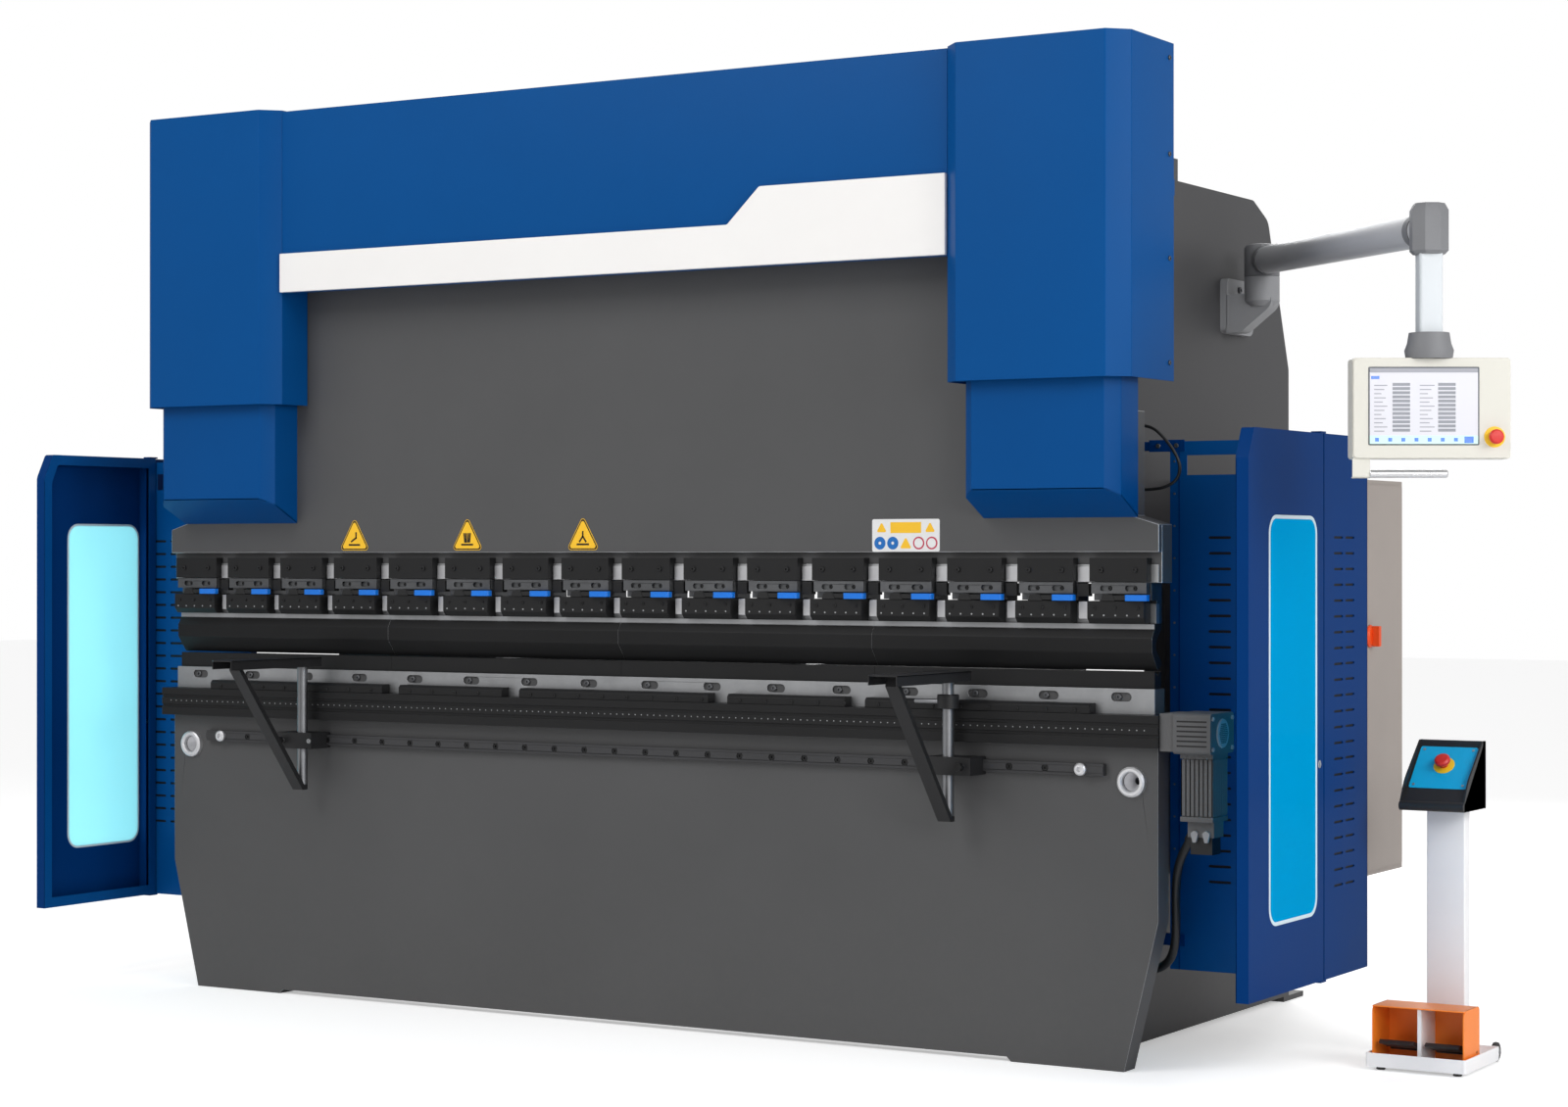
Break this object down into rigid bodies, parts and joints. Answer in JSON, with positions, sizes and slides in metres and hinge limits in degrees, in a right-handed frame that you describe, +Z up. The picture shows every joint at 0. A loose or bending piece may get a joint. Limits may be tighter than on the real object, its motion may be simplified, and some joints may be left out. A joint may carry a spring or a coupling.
{
  "type": "press brake",
  "caption": "Hydraulic press brake with quick-clamp punches, crowned die table, hinged side guards, swing-arm operator panel, sheet supports and a foot pedal console.",
  "frame": {"origin": "centre of the four anchor holes, on the floor under the side frames", "axes": "+X to the operator's right along the bend line, +Y to the rear of the machine, +Z up"},
  "size_m": [4.4537, 1.935, 2.559],
  "materials": {
    "frame_grey": "satin grey machine enamel",
    "tank_grey": "satin grey enamel",
    "cover_blue": "semi-gloss blue enamel",
    "stripe_white": "semi-gloss white enamel",
    "table_steel": "dark oiled steel",
    "rail_steel": "ground steel",
    "tool_steel": "blackened tool steel",
    "motor_grey": "painted casting",
    "cable_black": "black sheath",
    "cabinet_grey": "textured warm grey powder coat",
    "arm_grey": "satin grey enamel",
    "gauge_steel": "anodised aluminium and steel",
    "chrome": "hard chrome",
    "clamp_black": "black oxide",
    "support_grey": "satin grey enamel",
    "door_blue": "semi-gloss blue enamel with a clear window",
    "panel_cream": "cream enamel",
    "stop_red": "red plastic",
    "switch_orange": "orange plastic",
    "column_white": "white powder coat",
    "head_black": "textured black plastic",
    "hood_orange": "orange powder coat",
    "wheel_black": "rubber tyre",
    "pedal_black": "ribbed rubber tread",
    "lever_black": "black lever with a blue grip"
  },
  "bodies": {
    "frame": {"side_frames": "frame_grey", "foot_pads": "frame_grey", "bed_front_plate": "frame_grey", "cross_members": "frame_grey", "hydraulic_unit": "tank_grey", "cylinder_barrels": "tank_grey", "cylinder_covers": "cover_blue", "centre_fascia": "cover_blue", "fascia_stripe": "stripe_white", "crowning_table": "table_steel", "die_rail": "rail_steel", "dies": "tool_steel", "crowning_gearmotor": "motor_grey", "motor_cable": "cable_black", "support_rail": "frame_grey", "guard_panels": "cover_blue", "electrical_cabinet": "cabinet_grey", "arm_bracket": "arm_grey", "gauge_rails": "gauge_steel"},
    "ram": {"ram_plate": "frame_grey", "ram_covers": "cover_blue", "piston_rods": "chrome", "clamp_bodies": "clamp_black", "punches": "tool_steel", "ram_cable": "cable_black"},
    "support_carriage_left": {"support_carriage_left": "support_grey"},
    "support_carriage_right": {"support_carriage_right": "support_grey"},
    "support_arm_left": {"support_arm_left": "support_grey"},
    "support_arm_right": {"support_arm_right": "support_grey"},
    "guard_door_left": {"guard_door_left": "door_blue"},
    "guard_door_right": {"guard_door_right": "door_blue"},
    "panel_arm": {"swing_arm": "arm_grey"},
    "panel": {"control_panel": "panel_cream"},
    "panel_stop_button": {"panel_estop": "stop_red"},
    "switch": {"main_switch": "switch_orange"},
    "gauge_truck": {"gauge_carriage": "gauge_steel"},
    "gauge_beam": {"gauge_fingers": "gauge_steel"},
    "pedestal": {"pedestal_stand": "column_white", "pedestal_head": "head_black", "pedestal_hood": "hood_orange"},
    "wheels": {"pedestal_wheels": "wheel_black"},
    "left_pedal": {"pedal_left": "pedal_black"},
    "right_pedal": {"pedal_right": "pedal_black"},
    "pedestal_stop_button": {"pedestal_estop": "stop_red"},
    "lever_01_body": {"lever_01": "lever_black"},
    "lever_02_body": {"lever_02": "lever_black"},
    "lever_03_body": {"lever_03": "lever_black"},
    "lever_04_body": {"lever_04": "lever_black"},
    "lever_05_body": {"lever_05": "lever_black"},
    "lever_06_body": {"lever_06": "lever_black"},
    "lever_07_body": {"lever_07": "lever_black"},
    "lever_08_body": {"lever_08": "lever_black"},
    "lever_09_body": {"lever_09": "lever_black"},
    "lever_10_body": {"lever_10": "lever_black"},
    "lever_11_body": {"lever_11": "lever_black"},
    "lever_12_body": {"lever_12": "lever_black"},
    "lever_13_body": {"lever_13": "lever_black"},
    "lever_14_body": {"lever_14": "lever_black"},
    "lever_15_body": {"lever_15": "lever_black"},
    "lever_16_body": {"lever_16": "lever_black"}
  },
  "joints": [
    {"name": "ram_stroke", "type": "slide", "parent": "frame", "child": "ram", "axis": [0, 0, 1], "range_m": [0, 0.2]},
    {"name": "guard_door_right_swing", "type": "hinge", "parent": "frame", "child": "guard_door_right", "pos_m": [1.927, -0.55, 0.9], "axis": [0, 0, 1], "range_deg": [0, 90]},
    {"name": "guard_door_left_swing", "type": "hinge", "parent": "frame", "child": "guard_door_left", "pos_m": [-1.927, -0.55, 0.9], "axis": [0, 0, -1], "range_deg": [0, 90]},
    {"name": "arm_swing", "type": "hinge", "parent": "frame", "child": "panel_arm", "pos_m": [1.5, 0.124, 2.04], "axis": [0, 0, 1], "range_deg": [-12, 60]},
    {"name": "panel_swivel", "type": "hinge", "parent": "panel_arm", "child": "panel", "pos_m": [2.348, -0.95, 1.79], "axis": [0, 0, 1], "range_deg": [-60, 45]},
    {"name": "panel_stop_push", "type": "slide", "parent": "panel", "child": "panel_stop_button", "axis": [-0.515, 0.8572, 0], "range_m": [0, 0.005], "stiffness_N_per_m": 600},
    {"name": "support_left_travel", "type": "slide", "parent": "frame", "child": "support_carriage_left", "axis": [1, 0, 0], "range_m": [-0.25, 0.93]},
    {"name": "support_right_travel", "type": "slide", "parent": "frame", "child": "support_carriage_right", "axis": [1, 0, 0], "range_m": [-0.93, 0.25]},
    {"name": "support_left_height", "type": "slide", "parent": "support_carriage_left", "child": "support_arm_left", "axis": [0, 0, 1], "range_m": [-0.1, 0.05]},
    {"name": "support_right_height", "type": "slide", "parent": "support_carriage_right", "child": "support_arm_right", "axis": [0, 0, 1], "range_m": [-0.1, 0.05]},
    {"name": "gauge_travel", "type": "slide", "parent": "frame", "child": "gauge_truck", "axis": [0, 1, 0], "range_m": [0, 0.45]},
    {"name": "gauge_height", "type": "slide", "parent": "gauge_truck", "child": "gauge_beam", "axis": [0, 0, 1], "range_m": [0, 0.12]},
    {"name": "main_switch_turn", "type": "hinge", "parent": "frame", "child": "switch", "pos_m": [1.85, 0.009, 1.067], "axis": [-1, 0, 0], "range_deg": [0, 90]},
    {"name": "pedestal_roll", "type": "slide", "parent": "frame", "child": "pedestal", "axis": [0, 1, 0], "range_m": [0, 0.4]},
    {"name": "pedestal_wheels_spin", "type": "hinge", "parent": "pedestal", "child": "wheels", "pos_m": [2.135, -0.154, 0.025], "axis": [-1, 0, 0], "continuous": true},
    {"name": "pedal_left_press", "type": "hinge", "parent": "pedestal", "child": "left_pedal", "pos_m": [2.076, -0.327, 0.048], "axis": [1, 0, 0], "range_deg": [0, 12], "stiffness_Nm_per_rad": 6, "springref_deg": -20.05},
    {"name": "pedal_right_press", "type": "hinge", "parent": "pedestal", "child": "right_pedal", "pos_m": [2.194, -0.327, 0.048], "axis": [1, 0, 0], "range_deg": [0, 12], "stiffness_Nm_per_rad": 6, "springref_deg": -20.05},
    {"name": "pedestal_stop_push", "type": "slide", "parent": "pedestal", "child": "pedestal_stop_button", "axis": [0, 0.7005, -0.7137], "range_m": [0, 0.005], "stiffness_N_per_m": 600},
    {"name": "lever_01_swing", "type": "hinge", "parent": "ram", "child": "lever_01_body", "pos_m": [-1.531, -0.796, 1.176], "axis": [0, 0, -1], "range_deg": [0, 90]},
    {"name": "lever_02_swing", "type": "hinge", "parent": "ram", "child": "lever_02_body", "pos_m": [-1.331, -0.796, 1.176], "axis": [0, 0, -1], "range_deg": [0, 90]},
    {"name": "lever_03_swing", "type": "hinge", "parent": "ram", "child": "lever_03_body", "pos_m": [-1.131, -0.796, 1.176], "axis": [0, 0, -1], "range_deg": [0, 90]},
    {"name": "lever_04_swing", "type": "hinge", "parent": "ram", "child": "lever_04_body", "pos_m": [-0.931, -0.796, 1.176], "axis": [0, 0, -1], "range_deg": [0, 90]},
    {"name": "lever_05_swing", "type": "hinge", "parent": "ram", "child": "lever_05_body", "pos_m": [-0.731, -0.796, 1.176], "axis": [0, 0, -1], "range_deg": [0, 90]},
    {"name": "lever_06_swing", "type": "hinge", "parent": "ram", "child": "lever_06_body", "pos_m": [-0.531, -0.796, 1.176], "axis": [0, 0, -1], "range_deg": [0, 90]},
    {"name": "lever_07_swing", "type": "hinge", "parent": "ram", "child": "lever_07_body", "pos_m": [-0.331, -0.796, 1.176], "axis": [0, 0, -1], "range_deg": [0, 90]},
    {"name": "lever_08_swing", "type": "hinge", "parent": "ram", "child": "lever_08_body", "pos_m": [-0.131, -0.796, 1.176], "axis": [0, 0, -1], "range_deg": [0, 90]},
    {"name": "lever_09_swing", "type": "hinge", "parent": "ram", "child": "lever_09_body", "pos_m": [0.069, -0.796, 1.176], "axis": [0, 0, -1], "range_deg": [0, 90]},
    {"name": "lever_10_swing", "type": "hinge", "parent": "ram", "child": "lever_10_body", "pos_m": [0.269, -0.796, 1.176], "axis": [0, 0, -1], "range_deg": [0, 90]},
    {"name": "lever_11_swing", "type": "hinge", "parent": "ram", "child": "lever_11_body", "pos_m": [0.469, -0.796, 1.176], "axis": [0, 0, -1], "range_deg": [0, 90]},
    {"name": "lever_12_swing", "type": "hinge", "parent": "ram", "child": "lever_12_body", "pos_m": [0.669, -0.796, 1.176], "axis": [0, 0, -1], "range_deg": [0, 90]},
    {"name": "lever_13_swing", "type": "hinge", "parent": "ram", "child": "lever_13_body", "pos_m": [0.869, -0.796, 1.176], "axis": [0, 0, -1], "range_deg": [0, 90]},
    {"name": "lever_14_swing", "type": "hinge", "parent": "ram", "child": "lever_14_body", "pos_m": [1.069, -0.796, 1.176], "axis": [0, 0, -1], "range_deg": [0, 90]},
    {"name": "lever_15_swing", "type": "hinge", "parent": "ram", "child": "lever_15_body", "pos_m": [1.269, -0.796, 1.176], "axis": [0, 0, -1], "range_deg": [0, 90]},
    {"name": "lever_16_swing", "type": "hinge", "parent": "ram", "child": "lever_16_body", "pos_m": [1.469, -0.796, 1.176], "axis": [0, 0, -1], "range_deg": [0, 90]}
  ]
}
